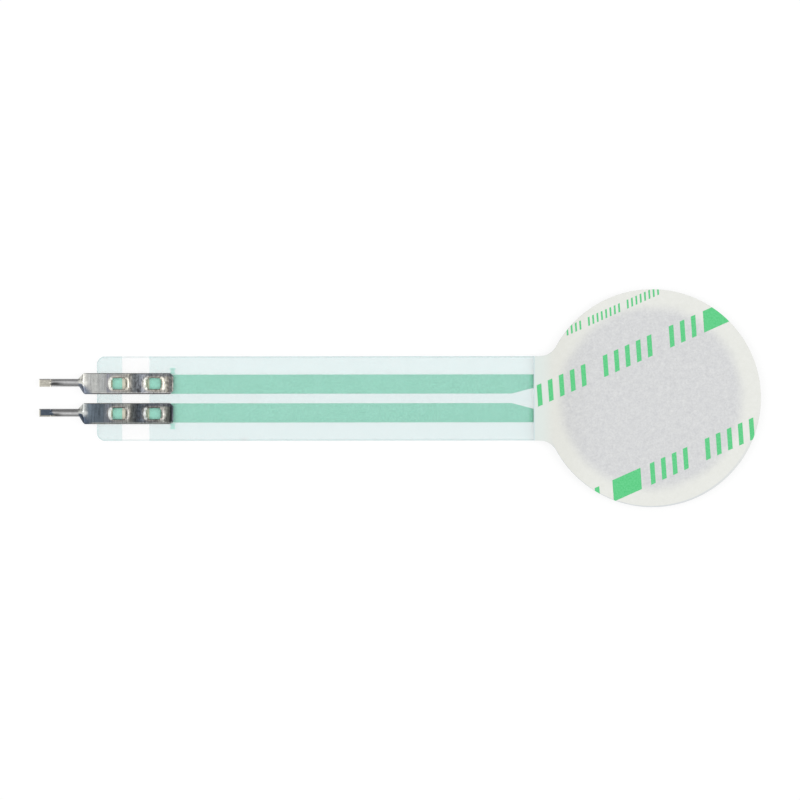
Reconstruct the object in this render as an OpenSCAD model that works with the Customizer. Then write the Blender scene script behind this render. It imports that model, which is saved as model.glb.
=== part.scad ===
// Thin-film force sensor: a round sensing head, a two-conductor tail and two crimped solder pins.
// The head's centre is at the origin, the tail runs towards -X and the paper liner faces +Z.
// The sensing face, the underside of the front film, lies on z = 0.

/* [Outline] */
// Diameter of the round head
head_d = 18.45; // [17.6:0.05:24]
// Width of the tail
tail_w = 7.15; // [6.4:0.05:9]
// Distance from the head's centre to the tail's end
tail_reach = 47.04; // [35:0.01:90]
// Radius of the hollow corners where the tail meets the head
neck_r = 1.65; // [0.5:0.05:3]
// Radius of the corners at the tail's end
end_corner_r = 0.65; // [0.2:0.05:1.4]

/* [Laminate] */
// Thickness of each polyester film
film_t = 0.125; // [0.075:0.025:0.25]
// Thickness of the spacer adhesive between the films
spacer_t = 0.1; // [0.08:0.01:0.2]
// Thickness of the mounting adhesive on the rear film
mount_adhesive_t = 0.05; // [0.03:0.01:0.15]
// Thickness of the paper release liner
liner_t = 0.09; // [0.06:0.01:0.2]
// How far along the tail the liner goes on past the head's left edge
liner_past = 0.8; // [0.5:0.05:2.2]
// How far the mounting adhesive stands out past the liner's straight edge
adhesive_show = 0.25; // [0.05:0.05:0.5]

/* [Sensing area] */
// Width of the head's rim around the printed carbon pad
rim_w = 1.8; // [1.7:0.1:3]
// Thickness of the carbon print
carbon_t = 0.02; // [0.01:0.005:0.03]
// Clearance around the carbon pad in the spacer's opening
carbon_clear = 0.05; // [0.02:0.01:0.15]
// Width of the air channel from the opening to the head's rim
vent_w = 0.8; // [0.4:0.1:1.4]

/* [Conductors] */
// Thickness of the printed silver
silver_t = 0.015; // [0.01:0.005:0.025]
// Thickness of the green insulating print over it
coat_t = 0.012; // [0.01:0.002:0.02]
// Width of each conductor along the tail
trace_w = 1.64; // [1:0.02:1.8]
// Gap between the two conductors
trace_gap = 0.8; // [0.6:0.02:1]
// Distance from the tail's end to the start of the conductors
trace_inset = 0.6; // [0.3:0.1:1]
// How far past the head's left edge the taper starts
taper_past = 2.65; // [2:0.05:5]
// Width of each conductor where the taper meets the ring
track_w = 0.6; // [0.3:0.02:0.8]
// Distance from the head's edge to the ring conductor's middle line
ring_inset = 1.1; // [0.8:0.05:1.25]
// Width of the ring conductor
ring_w = 0.6; // [0.3:0.05:0.8]
// Gap between the two half rings at their ends
ring_gap = 2; // [1.6:0.1:2.4]
// Width of each contact finger
finger_w = 0.36; // [0.2:0.02:0.6]
// Gap between neighbouring fingers
finger_gap = 0.36; // [0.2:0.02:0.6]
// Gap between a finger's free end and the far half ring
finger_end_gap = 0.6; // [0.3:0.05:1]

/* [Clear band] */
// Distance from the tail's end to the band with no adhesive and no green print
band_inset = 2.13; // [1.9:0.01:2.2]
// Length of that band along the tail
band_l = 2.3; // [2:0.05:2.6]

/* [Registration marks] */
// Width of each hourglass mark along the tail
mark_l = 0.46; // [0.3:0.02:0.8]
// Height of each hourglass mark
mark_h = 0.52; // [0.3:0.02:0.6]
// Width of the hourglass at its waist
mark_waist = 0.26; // [0.15:0.01:0.3]
// Gap between a mark and the conductor next to it
mark_gap = 0.04; // [0.02:0.01:0.1]
// Distance from the tail's end to the marks' middle
mark_inset = 6.41; // [6:0.01:8]

/* [Terminals] */
// Distance between the two terminals' middle lines
pin_pitch = 2.54; // [2.3:0.01:2.8]
// Thickness of the terminal's tinned sheet
sheet_t = 0.2; // [0.15:0.01:0.3]
// Width of the crimp plate
plate_w = 1.78; // [1.5:0.02:2]
// Length of the crimp plate
plate_l = 7.55; // [7:0.05:9]
// How far the plate reaches in from the tail's end
plate_inset = 6.48; // [6.2:0.01:7]
// Length of the plate's end that rolls down to the film
plate_roll_l = 0.44; // [0.2:0.02:0.6]
// How far that end falls
plate_roll_drop = 0.15; // [0.05:0.01:0.18]
// Size of the chamfers on the plate's end corners
plate_chamfer = 0.26; // [0.1:0.02:0.5]
// Radius of the sheet's upper edges, rounded by the blanking die
edge_r = 0.06; // [0.02:0.01:0.08]

/* [Crimp tines] */
// Distance from the tail's end to the middle of the first window
window_inset = 1.84; // [1.65:0.01:1.9]
// Distance between the two windows' middles
window_pitch = 2.96; // [2.8:0.01:3.2]
// Length of each window between its two tines
window_l = 1.18; // [1:0.02:1.3]
// Width of each window
window_w = 0.92; // [0.7:0.02:1.1]
// Radius of the rounded shoulder over which each tine is drawn down
draw_r = 0.34; // [0.25:0.01:0.4]
// Width of each tine
tine_w = 0.8; // [0.5:0.02:0.86]
// Length of each clinched foot under the front film
foot_l = 0.44; // [0.3:0.02:0.48]
// Width of each foot at its tip
foot_tip_w = 0.34; // [0.2:0.02:0.5]
// Clearance around a tine in the layers that it pierces
tine_clear = 0.01; // [0.005:0.005:0.02]

/* [Solder pins] */
// Width of the folded pin
pin_w = 0.66; // [0.5:0.02:0.8]
// How far each pin lies off its plate's middle line, towards the upper terminal
pin_offset = 0.08; // [-0.15:0.01:0.15]
// Height of the pin's straight side walls below the round back
pin_wall = 0.2; // [0.05:0.01:0.3]
// Length of the tapering shoulder between plate and pin
shoulder_l = 0.52; // [0.3:0.02:0.8]
// Length of the folded pin
pin_l = 2.25; // [1.5:0.05:6]
// Length over which the fold is pressed flat
press_l = 0.3; // [0.2:0.02:0.6]
// Length of the flat tip
tip_l = 0.72; // [0.5:0.02:1.5]
// How far the flat tip lies below the pin's back
tip_drop = 0.1; // [0:0.01:0.15]

/* [Liner print] */
// Depth that the green ink soaks into the paper
ink_depth = 0.02; // [0.01:0.005:0.04]
// Slope of the printed rows across the tail's direction
row_tilt = 24; // [0:1:45]
// Distance from the head's edge to the upper wide row's middle line
upper_row_inset = 5.1; // [4:0.1:7]
// Distance from the head's edge to the lower wide row's middle line
lower_row_inset = 3.4; // [2:0.1:6]
// Height of the wide rows' bars
bar_h = 1.7; // [1:0.1:2.5]
// Width of the wide rows' bars
bar_w = 0.42; // [0.2:0.02:0.6]
// Distance between neighbouring bars of a wide row
bar_pitch = 1.02; // [0.9:0.02:2]
// Height of the fine row's bars
fine_h = 0.7; // [0.4:0.1:1.2]
// Width of the fine row's bars
fine_w = 0.16; // [0.1:0.02:0.25]
// Distance between neighbouring bars of the fine row
fine_pitch = 0.4; // [0.36:0.02:0.8]
// Bars in a group of the fine row, counting the gap that follows it
fine_group = 9; // [3:1:16]
// Distance from the head's edge to the fine row's middle line
fine_inset = 1.1; // [0.9:0.1:2]
// Bars in a group of a wide row, counting the gap that follows it
bar_group = 6; // [3:1:12]
// Length of the solid block in each wide row
block_l = 2.6; // [1.5:0.1:4]
// Distance from the upper row's right end to its block's middle
upper_block_inset = 0.34; // [0.3:0.02:3]
// Distance from the lower row's left end to its block's middle
lower_block_inset = 2.24; // [1.5:0.02:5]
// Lean of the bars and blocks
bar_lean = 20; // [0:1:35]

/* [Hidden] */
$fn = 96;
// Overshoot of a cutting shape past the face that it cuts
eps = 0.1;

// Heights of the layers' faces, from the sensing face up
z_inner = film_t;
z_silver = z_inner + silver_t;
z_rear = z_inner + spacer_t;
z_back = z_rear + film_t;
z_adhesive = z_back + mount_adhesive_t;
z_liner = z_adhesive + liner_t;
z_plate = z_back + sheet_t;

// Sizes that follow the head
head_r = head_d / 2;
liner_reach = head_r + liner_past;
taper_reach = head_r + taper_past;
carbon_d = head_d - 2 * rim_w;
ring_r = head_r - ring_inset;

// Places along the tail
tail_end = -tail_reach;
band_start = tail_end + band_inset;
trace_start = tail_end + trace_inset;
mark_x = tail_end + mark_inset;
plate_end = tail_end + plate_inset;
plate_start = plate_end - plate_l;
window_x = [tail_end + window_inset, tail_end + window_inset + window_pitch];
pin_y = pin_pitch / 2;

// Conductors
trace_inner = trace_gap / 2;
trace_outer = trace_inner + trace_w;
ring_inner_r = ring_r - ring_w / 2;
ring_outer_r = ring_r + ring_w / 2;
ring_join_x = -sqrt(pow(ring_r, 2) - pow(trace_outer, 2));
finger_reach_r = ring_inner_r - finger_end_gap;
finger_pitch = finger_w + finger_gap;
finger_count = 2 * floor(finger_reach_r / finger_pitch);

// Folded strip
fold_r = (pin_w - sheet_t) / 2;
fold_steps = 9;
edge_steps = 3;
pin_half = fold_r * PI / 2 + pin_wall;
shoulder_steps = 10;
press_steps = 5;

head_steps = 64;
arc_steps = 10;

function lerp(a, b, u) = a + (b - a) * u;
function ease(u) = u * u * (3 - 2 * u);

// Points on an arc, from angle a to angle b, the first one left out where it is already there
function arc_points(centre, r, a, b, steps, first = 0) = [
    for (k = [first:steps])
        let (t = lerp(a, b, k / steps))
            [centre[0] + r * cos(t), centre[1] + r * sin(t)]
];

// Upper half of the films' edge: round the head, along the neck fillet, to the tail's end corner
function half_edge() =
    let (
        fillet_y = tail_w / 2 + neck_r,
        fillet_x = -sqrt(pow(head_r + neck_r, 2) - pow(fillet_y, 2))
    )
        concat(
            arc_points([0, 0], head_r, 0, atan2(fillet_y, fillet_x), head_steps),
            arc_points([fillet_x, fillet_y], neck_r, atan2(-fillet_y, -fillet_x), -90, arc_steps, 1),
            arc_points([tail_end + end_corner_r, tail_w / 2 - end_corner_r], end_corner_r, 90, 180, arc_steps)
        );

// Plan outline of both films
module sensor_outline() {
    upper = half_edge();
    lower = [for (k = [len(upper) - 1:-1:1]) [upper[k][0], -upper[k][1]]];
    polygon(concat(upper, lower));
}

// The head's part of the outline, right of a straight edge
module head_outline(reach) {
    intersection() {
        sensor_outline();
        translate([-reach, -head_d]) square([reach + head_d, 2 * head_d]);
    }
}

// Holes for the tines, through every layer that they pierce
module tine_slots() {
    for (side = [-1, 1], x = window_x, end = [-1, 1])
        translate([x + end * (window_l + sheet_t) / 2, side * pin_y])
            square([sheet_t + 2 * tine_clear, tine_w + 2 * tine_clear], center = true);
}

// The upper half of the printed silver: tail run, taper, half ring and contact fingers
module electrode_plan(first_finger) {
    tail_run_plan(ring_join_x);
    intersection() {
        difference() {
            circle(r = ring_outer_r);
            circle(r = ring_inner_r);
        }
        translate([-head_d, ring_gap / 2]) square([2 * head_d, head_d]);
    }
    intersection() {
        finger_bars(first_finger);
        union() {
            circle(r = finger_reach_r);
            intersection() {
                circle(r = ring_r);
                translate([-head_d, ring_gap / 2]) square([2 * head_d, head_d]);
            }
        }
    }
}

// Tail run of one conductor with its taper
module tail_run_plan(x_stop) {
    polygon([
        [trace_start, trace_inner], [-taper_reach, trace_inner], [x_stop, trace_outer - track_w],
        [x_stop, trace_outer], [trace_start, trace_outer]
    ]);
}

// Every second finger, starting at the given one
module finger_bars(first_finger) {
    for (i = [first_finger:2:finger_count - 1])
        translate([(i - (finger_count - 1) / 2) * finger_pitch - finger_w / 2, -head_r])
            square([finger_w, head_d]);
}

// The green print over the upper conductor's tail run
module coat_plan() {
    difference() {
        intersection() {
            tail_run_plan(ring_join_x);
            translate([tail_end, 0]) square([tail_reach - liner_reach, tail_w / 2]);
        }
        translate([band_start, 0]) square([band_l, tail_w / 2]);
    }
}

// Hourglass mark beside the upper conductor
module mark_plan() {
    low = trace_outer + mark_gap;
    polygon([
        [-mark_l / 2, low], [mark_l / 2, low], [mark_waist / 2, low + mark_h / 2],
        [mark_l / 2, low + mark_h], [-mark_l / 2, low + mark_h], [-mark_waist / 2, low + mark_h / 2]
    ]);
}

// One printed layer of the upper (side = 1) or lower (side = -1) conductor
module print_layer(side, z, t) {
    translate([0, 0, z])
        linear_extrude(t)
            difference() {
                on_side(side) children();
                tine_slots();
            }
}

// The lower conductor is the upper one mirrored over the tail's middle line
module on_side(side) {
    if (side > 0)
        children();
    else
        mirror([0, 1]) children();
}

module silver(side) {
    print_layer(side, z_inner, silver_t) electrode_plan(side > 0 ? 0 : 1);
}

module coat(side) {
    print_layer(side, z_silver, coat_t) coat_plan();
    translate([mark_x, 0, z_inner])
        linear_extrude(silver_t + coat_t)
            on_side(side) mark_plan();
}

module pierced_film(z) {
    translate([0, 0, z])
        linear_extrude(film_t)
            difference() {
                sensor_outline();
                tine_slots();
            }
}

// Spacer adhesive: the head's ring and the tail, then the separate pad at the tail's end
module spacer_plan() {
    difference() {
        sensor_outline();
        circle(d = carbon_d + 2 * carbon_clear);
        translate([0, -vent_w / 2]) square([head_d, vent_w]);
        translate([band_start, -tail_w]) square([band_l, 2 * tail_w]);
        tine_slots();
    }
}

// Space that the printed layers take in the spacer adhesive
module print_relief() {
    for (side = [-1, 1]) {
        translate([0, 0, z_inner - eps])
            linear_extrude(silver_t + eps)
                on_side(side) electrode_plan(side > 0 ? 0 : 1);
        translate([0, 0, z_inner - eps])
            linear_extrude(silver_t + coat_t + eps)
                on_side(side) coat_plan();
        translate([mark_x, 0, z_inner - eps])
            linear_extrude(silver_t + coat_t + eps)
                on_side(side) mark_plan();
    }
}

// A leaning bar or block of the liner print, centred at u along its row
module leaning_bar(u, l, h) {
    lean = h / 2 * tan(bar_lean);
    polygon([
        [u - l / 2 - lean, -h / 2], [u + l / 2 - lean, -h / 2],
        [u + l / 2 + lean, h / 2], [u - l / 2 + lean, h / 2]
    ]);
}

// Half the length of a row at the distance v from the head's centre
function row_end(v) = sqrt(pow(head_r, 2) - pow(v, 2));

// Places of a row's bars, from its right end on, with a gap after each group
function bar_places(v, pitch, group) = [
    for (i = [0:floor(2 * row_end(v) / pitch)])
        if (i % group != group - 1)
            row_end(v) - (i + 0.5) * pitch
];

// A wide row of leaning bars, with one solid block in place of the bars round block_u
module wide_row(v, block_u) {
    leaning_bar(block_u, block_l, bar_h);
    for (u = bar_places(v, bar_pitch, bar_group))
        if (abs(u - block_u) > (block_l + bar_pitch) / 2)
            leaning_bar(u, bar_w, bar_h);
}

// The liner print, clipped to the liner
module print_plan() {
    upper_v = head_r - upper_row_inset;
    lower_v = lower_row_inset - head_r;
    fine_v = head_r - fine_inset;
    intersection() {
        rotate(row_tilt) {
            translate([0, upper_v]) wide_row(upper_v, row_end(upper_v) - upper_block_inset);
            translate([0, lower_v]) wide_row(lower_v, lower_block_inset - row_end(lower_v));
            translate([0, fine_v])
                for (u = bar_places(fine_v, fine_pitch, fine_group))
                    leaning_bar(u, fine_w, fine_h);
        }
        head_outline(liner_reach);
    }
}

// Place and slope of the middle of the sheet, s along a strip that folds down by fold degrees
function fold_point(s, fold) =
    let (
        arc = min(s, fold_r * fold * PI / 180),
        a = arc / fold_r * 180 / PI,
        leg = s - arc
    )
        [fold_r * sin(a) + leg * cos(a), fold_r * cos(a) - fold_r - leg * sin(a), a];
function offset_point(p, along, up) =
    [p[0] + along * cos(p[2]) + up * sin(p[2]), p[1] - along * sin(p[2]) + up * cos(p[2])];

// Section across a folded strip: round the upper face, the rounded edge and back along the lower face
function strip_side(half, fold) =
    concat(
        [for (k = [0:fold_steps])
            offset_point(fold_point((half - edge_r) * k / fold_steps, fold), 0, sheet_t / 2)],
        [for (k = [1:edge_steps])
            let (a = 90 * k / edge_steps)
                offset_point(fold_point(half, fold), edge_r * sin(a) - edge_r,
                    sheet_t / 2 - edge_r + edge_r * cos(a))],
        [for (k = [fold_steps:-1:0])
            offset_point(fold_point(half * k / fold_steps, fold), 0, -sheet_t / 2)]
    );
function mirrored(points) = [for (k = [len(points) - 2:-1:1]) [-points[k][0], points[k][1]]];
function strip_section(half, fold, crest) =
    let (side = strip_side(half, fold))
        [for (p = concat(side, mirrored(side))) [p[0], p[1] + crest - sheet_t / 2]];

// Half width of the flat strip that keeps the pin's width while the fold closes
function folding_half(u, fold) =
    fold == 90
        ? pin_half
        : fold_r * fold * PI / 180 + pin_w / 2 * (1 - sin(fold)) / cos(fold) + pin_wall * pow(u, 4);

// Half width of the flat strip along the shoulder: it opens out while the plan widens evenly
function shoulder_half(u, fold) =
    fold == 90
        ? pin_half
        : fold_r * fold * PI / 180 + (lerp(fold_r, plate_w / 2, u) - fold_r * sin(fold)) / cos(fold)
            + (pin_wall - (plate_w / 2 - fold_r) / PI) * pow(1 - u, 2);

// Formed pin: [x, half width of the strip, fold, height of the back, middle line] at each station
pin_top = plate_start - shoulder_l;
press_top = pin_top - pin_l;
press_end = press_top - press_l;
tip_end = press_end - tip_l;
stations = concat(
    [[tip_end, pin_w / 2, 0, z_plate - tip_drop, pin_offset]],
    [for (k = [0:press_steps])
        let (u = k / press_steps)
            [lerp(press_end, press_top, u), folding_half(u, 90 * ease(u)), 90 * ease(u),
                z_plate - tip_drop * (1 - ease(u)), pin_offset]],
    [for (k = [0:shoulder_steps])
        let (u = k / shoulder_steps, fold = 90 * pow(1 - u, 2))
            [lerp(pin_top, plate_start, u), shoulder_half(u, fold), fold, z_plate,
                pin_offset * (1 - ease(u))]]
);

module formed_pin() {
    rings = [for (s = stations) [for (p = strip_section(s[1], s[2], s[3])) [s[0], s[4] + p[0], p[1]]]];
    n = len(rings[0]);
    last = len(rings) - 1;
    caps = [for (s = [stations[0], stations[last]]) [s[0], s[4], s[3] - sheet_t / 2]];
    first_cap = n * len(rings);
    polyhedron(
        points = concat([for (ring = rings) each ring], caps),
        faces = [
            for (k = [0:n - 1]) [first_cap, (k + 1) % n, k],
            for (r = [0:last - 1], k = [0:n - 1])
                let (a = r * n + k, b = r * n + (k + 1) % n)
                    each [[a, b, a + n], [b, b + n, a + n]],
            for (k = [0:n - 1]) [first_cap + 1, last * n + k, last * n + (k + 1) % n]
        ],
        convexity = 6
    );
}

// Flat crimp plate: plan, side view and section, each extruded, in common
module plate() {
    roll_r = (pow(plate_roll_l, 2) + pow(plate_roll_drop, 2)) / (2 * plate_roll_drop);
    intersection() {
        linear_extrude(z_plate + eps)
            polygon([
                [plate_start, -plate_w], [plate_end - plate_chamfer - plate_w / 2, -plate_w],
                [plate_end, -plate_w / 2 + plate_chamfer], [plate_end, plate_w / 2 - plate_chamfer],
                [plate_end - plate_chamfer - plate_w / 2, plate_w], [plate_start, plate_w]
            ]);
        translate([0, plate_w, 0])
            rotate([90, 0, 0])
                linear_extrude(2 * plate_w)
                    difference() {
                        translate([plate_start, z_back]) square([plate_l, sheet_t]);
                        difference() {
                            translate([plate_end - plate_roll_l, z_back])
                                square([plate_roll_l + eps, sheet_t + eps]);
                            translate([plate_end - plate_roll_l, z_plate - roll_r]) circle(r = roll_r);
                        }
                    }
        translate([plate_start, 0, 0])
            rotate([90, 0, 90])
                linear_extrude(plate_l)
                    polygon(strip_section(plate_w / 2, 0, z_plate));
    }
}

// Trumpet-shaped hollow that the punch leaves where a tine is drawn down
module draw_hollow() {
    rotate_extrude()
        difference() {
            square([window_w / 2, draw_r + eps]);
            translate([window_w / 2, 0]) circle(r = draw_r);
        }
}

// One tine, standing at the window's end and clinched towards the window's middle at +X
module tine() {
    intersection() {
        translate([0, tine_w / 2, 0])
            rotate([90, 0, 0])
                linear_extrude(tine_w) {
                    translate([-sheet_t, 0]) square([sheet_t, z_back + eps]);
                    translate([0, -sheet_t]) square([foot_l, sheet_t]);
                    intersection() {
                        circle(r = sheet_t);
                        translate([-sheet_t, -sheet_t]) square(sheet_t);
                    }
                }
        translate([0, 0, -sheet_t - eps])
            linear_extrude(z_plate + sheet_t + 2 * eps)
                polygon([
                    [-2 * sheet_t, -tine_w / 2], [0, -tine_w / 2], [foot_l, -foot_tip_w / 2],
                    [foot_l, foot_tip_w / 2], [0, tine_w / 2], [-2 * sheet_t, tine_w / 2]
                ]);
    }
}

module terminal(side) {
    translate([0, side * pin_y, 0]) {
        formed_pin();
        difference() {
            union() {
                plate();
                for (x = window_x, end = [0, 1])
                    translate([x, 0, 0])
                        mirror([end, 0, 0])
                            translate([-window_l / 2, 0, 0]) tine();
            }
            for (x = window_x) {
                translate([x - window_l / 2, -window_w / 2, z_back])
                    cube([window_l, window_w, sheet_t + eps]);
                for (end = [-1, 1])
                    translate([x + end * (window_l / 2 + draw_r - window_w / 2), 0, z_plate - draw_r])
                        draw_hollow();
            }
        }
    }
}

module front_film() {
    color([0.9, 0.95, 0.95, 0.5]) pierced_film(0);
}

module upper_trace() {
    color([0.78, 0.78, 0.74]) silver(1);
}

module lower_trace() {
    color([0.78, 0.78, 0.74]) silver(-1);
}

module upper_coat() {
    color([0.6, 0.83, 0.76]) coat(1);
}

module lower_coat() {
    color([0.6, 0.83, 0.76]) coat(-1);
}

module spacer_adhesive() {
    color([0.88, 0.95, 0.95])
        difference() {
            translate([0, 0, z_inner]) linear_extrude(spacer_t) spacer_plan();
            print_relief();
        }
}

module carbon_pad() {
    color([0.16, 0.16, 0.17])
        translate([0, 0, z_rear - carbon_t]) cylinder(d = carbon_d, h = carbon_t);
}

module rear_film() {
    color([0.9, 0.95, 0.95, 0.5]) pierced_film(z_rear);
}

module mounting_adhesive() {
    color([0.95, 0.97, 0.95, 0.6])
        translate([0, 0, z_back])
            linear_extrude(mount_adhesive_t) head_outline(liner_reach + adhesive_show);
}

module release_liner() {
    color([0.91, 0.92, 0.89])
        difference() {
            translate([0, 0, z_adhesive]) linear_extrude(liner_t) head_outline(liner_reach);
            translate([0, 0, z_liner - ink_depth]) linear_extrude(ink_depth + eps) print_plan();
        }
}

module liner_print() {
    color([0.4, 0.8, 0.53])
        translate([0, 0, z_liner - ink_depth]) linear_extrude(ink_depth) print_plan();
}

module upper_terminal() {
    color([0.69, 0.68, 0.65]) terminal(1);
}

module lower_terminal() {
    color([0.45, 0.48, 0.52]) terminal(-1);
}

front_film();
upper_trace();
lower_trace();
upper_coat();
lower_coat();
spacer_adhesive();
carbon_pad();
rear_film();
mounting_adhesive();
release_liner();
liner_print();
upper_terminal();
lower_terminal();
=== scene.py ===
import math

import bmesh
import bpy
from mathutils import Matrix, Vector


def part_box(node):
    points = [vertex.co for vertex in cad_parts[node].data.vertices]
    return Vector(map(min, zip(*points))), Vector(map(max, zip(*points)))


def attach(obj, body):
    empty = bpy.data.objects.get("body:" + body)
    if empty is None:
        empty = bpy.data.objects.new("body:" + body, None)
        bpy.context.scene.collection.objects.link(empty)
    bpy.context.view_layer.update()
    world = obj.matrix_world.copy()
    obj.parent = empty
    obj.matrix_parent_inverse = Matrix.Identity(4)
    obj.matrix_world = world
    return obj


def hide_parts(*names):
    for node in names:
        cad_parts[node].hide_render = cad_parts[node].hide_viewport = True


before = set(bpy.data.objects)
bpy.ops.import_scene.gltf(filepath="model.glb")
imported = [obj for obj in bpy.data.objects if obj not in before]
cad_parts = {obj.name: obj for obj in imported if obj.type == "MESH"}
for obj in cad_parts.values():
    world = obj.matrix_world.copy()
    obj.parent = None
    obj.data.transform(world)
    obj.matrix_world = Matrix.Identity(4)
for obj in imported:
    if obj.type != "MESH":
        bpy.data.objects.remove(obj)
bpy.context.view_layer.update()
mm = 0.001
print("frame: the packed layers are in")

# Heights and places read from the frame, in mm
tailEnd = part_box("rear_film")[0].x / mm
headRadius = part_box("rear_film")[1].x / mm
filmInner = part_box("front_film")[1].z / mm
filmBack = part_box("rear_film")[1].z / mm
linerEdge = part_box("release_liner")[0].x / mm
terminalLow, terminalHigh = (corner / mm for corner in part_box("upper_terminal"))
terminalY = (terminalLow.y + terminalHigh.y) / 2


def deselectAll():
    if bpy.context.mode != "OBJECT":
        bpy.ops.object.mode_set(mode="OBJECT")
    bpy.ops.object.select_all(action="DESELECT")


def activate(piece):
    deselectAll()
    piece.select_set(True)
    bpy.context.view_layer.objects.active = piece


def applyModifier(piece, kind, **settings):
    modifier = piece.modifiers.new(kind.title(), kind)
    for key, value in settings.items():
        setattr(modifier, key, value)
    activate(piece)
    bpy.ops.object.modifier_apply(modifier=modifier.name)


def namePiece(piece, name):
    piece.name = name
    piece.data.name = name
    return piece


# Selects, in edit mode, the faces or edges that pass a test
def selectParts(piece, kind, test):
    mesh = bmesh.from_edit_mesh(piece.data)
    bpy.ops.mesh.select_mode(type=kind)
    bpy.ops.mesh.select_all(action="DESELECT")
    parts = mesh.faces if kind == "FACE" else mesh.edges
    for part in parts:
        part.select_set(test(part))
    mesh.select_flush_mode()
    bmesh.update_edit_mesh(piece.data)


# Smooth across small angles, with flat faces kept flat
def smoothPiece(piece, angle=32):
    activate(piece)
    bpy.ops.object.shade_smooth_by_angle(angle=math.radians(angle))
    applyModifier(piece, "WEIGHTED_NORMAL", keep_sharp=True, weight=80)


def dressPiece(piece, finishes, nodes):
    piece.data.materials.clear()
    for finish in finishes:
        piece.data.materials.append(finish)
    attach(piece, "root")
    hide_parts(*nodes)


# Node helpers for the finishes and the sky. An input takes a number or another node's output
def feed(owner, value, socket):
    if isinstance(value, bpy.types.NodeSocket):
        owner.node_tree.links.new(value, socket)
    else:
        socket.default_value = value


def addNode(owner, kind, inputs=None, **settings):
    node = owner.node_tree.nodes.new(kind)
    for key, value in settings.items():
        setattr(node, key, value)
    for key, value in (inputs or {}).items():
        feed(owner, value, node.inputs[key])
    return node


def newFinish(name, **values):
    finish = bpy.data.materials.new(name)
    finish.use_nodes = True
    shader = finish.node_tree.nodes["Principled BSDF"]
    for key, value in values.items():
        shader.inputs[key.replace("_", " ")].default_value = value
    return finish, shader


# A colour as it is seen on a screen, 0 to 255, made linear
def tone(red, green, blue):
    parts = [value / 255 for value in (red, green, blue)]
    return [p / 12.92 if p <= 0.04045 else ((p + 0.055) / 1.055) ** 2.4 for p in parts] + [1]


def places(finish):
    return addNode(finish, "ShaderNodeTexCoord").outputs["Object"]


# Noise with spots of the given size in mm, stretched by three factors
def mottle(finish, size, stretch=(1, 1, 1), detail=2, roughness=0.5, shift=(0, 0, 0)):
    scaling = [1 / (size * mm * factor) for factor in stretch]
    mapping = addNode(finish, "ShaderNodeMapping",
                      {"Vector": places(finish), "Scale": scaling, "Location": shift})
    noise = addNode(finish, "ShaderNodeTexNoise",
                    {"Vector": mapping.outputs[0], "Scale": 1, "Detail": detail, "Roughness": roughness})
    return noise.outputs["Fac"]


# Noise with more contrast
def cloudy(finish, size, **options):
    return spread(finish, mottle(finish, size, **options), 0.3, 0.7)


def spread(owner, value, low, high, newLow=0, newHigh=1, smooth=False):
    inputs = dict(enumerate((value, low, high, newLow, newHigh)))
    kind = "SMOOTHSTEP" if smooth else "LINEAR"
    return addNode(owner, "ShaderNodeMapRange", inputs, interpolation_type=kind).outputs[0]


def sums(owner, operation, first, second):
    return addNode(owner, "ShaderNodeMath", {0: first, 1: second}, operation=operation).outputs[0]


def blendTones(finish, factor, first, second, blendType="MIX"):
    inputs = {0: factor, 6: first, 7: second}
    return addNode(finish, "ShaderNodeMix", inputs, data_type="RGBA", blend_type=blendType).outputs[2]


# Product of two or more shares
def times(finish, *shares):
    product = shares[0]
    for share in shares[1:]:
        product = sums(finish, "MULTIPLY", product, share)
    return product


def sizeOf(finish, value):
    return sums(finish, "ABSOLUTE", value, 0)


# Lays a colour over another one, as far as the share says
def paint(finish, share, under, colour):
    return blendTones(finish, share, under, tone(*colour))


def shadeBy(finish, under, factor):
    return blendTones(finish, 1, under, factor, "MULTIPLY")


def twoTones(finish, share, pair):
    return blendTones(finish, share, tone(*pair[0]), tone(*pair[1]))


def lengthOf(finish, x, y):
    flat = addNode(finish, "ShaderNodeCombineXYZ", {"X": x, "Y": y}).outputs[0]
    return addNode(finish, "ShaderNodeVectorMath", {0: flat}, operation="LENGTH").outputs["Value"]


# Distance from the middle of a rounded corner, from the two distances past it
def cornerReach(finish, along, aside):
    return lengthOf(finish, sums(finish, "MAXIMUM", along, 0), sums(finish, "MAXIMUM", aside, 0))


def bumpFrom(finish, height, distance, strength=0.5):
    return addNode(finish, "ShaderNodeBump",
                   {"Height": height, "Distance": distance * mm, "Strength": strength}).outputs[0]


# A colour that follows a value, from stops of (value, colour or grey)
def ramp(finish, value, stops):
    low, high = stops[0][0], stops[-1][0]
    node = addNode(finish, "ShaderNodeValToRGB", {"Fac": spread(finish, value, low, high)})
    while len(node.color_ramp.elements) < len(stops):
        node.color_ramp.elements.new(0.5)
    for element, (at, colour) in zip(node.color_ramp.elements, stops):
        element.position = (at - low) / (high - low)
        element.color = tone(*colour) if isinstance(colour, tuple) else tone(colour, colour, colour)
    return node.outputs[0]


# The place along X, Y and Z, in mm from a given point
def placeParts(finish, centre=(0, 0, 0)):
    mapping = addNode(finish, "ShaderNodeMapping",
                      {"Vector": places(finish), "Scale": [1 / mm] * 3, "Location": [-c for c in centre]})
    split = addNode(finish, "ShaderNodeSeparateXYZ", {"Vector": mapping.outputs[0]})
    return [split.outputs[axis] for axis in "XYZ"]


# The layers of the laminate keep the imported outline. Each copy is drawn in by a hair on all sides, so
# that no two clear layers share a face. The outer edges are eased as a steel-rule die leaves them.
# Lengths are in mm from here on, and tones go from 0 to 255.
layers = {
    "hair": 0.003,
    "weld": 0.0002,
    "sameHeight": 0.006,
    "sharp": 50,  # the least angle of an edge that is eased, in degrees
}


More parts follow.
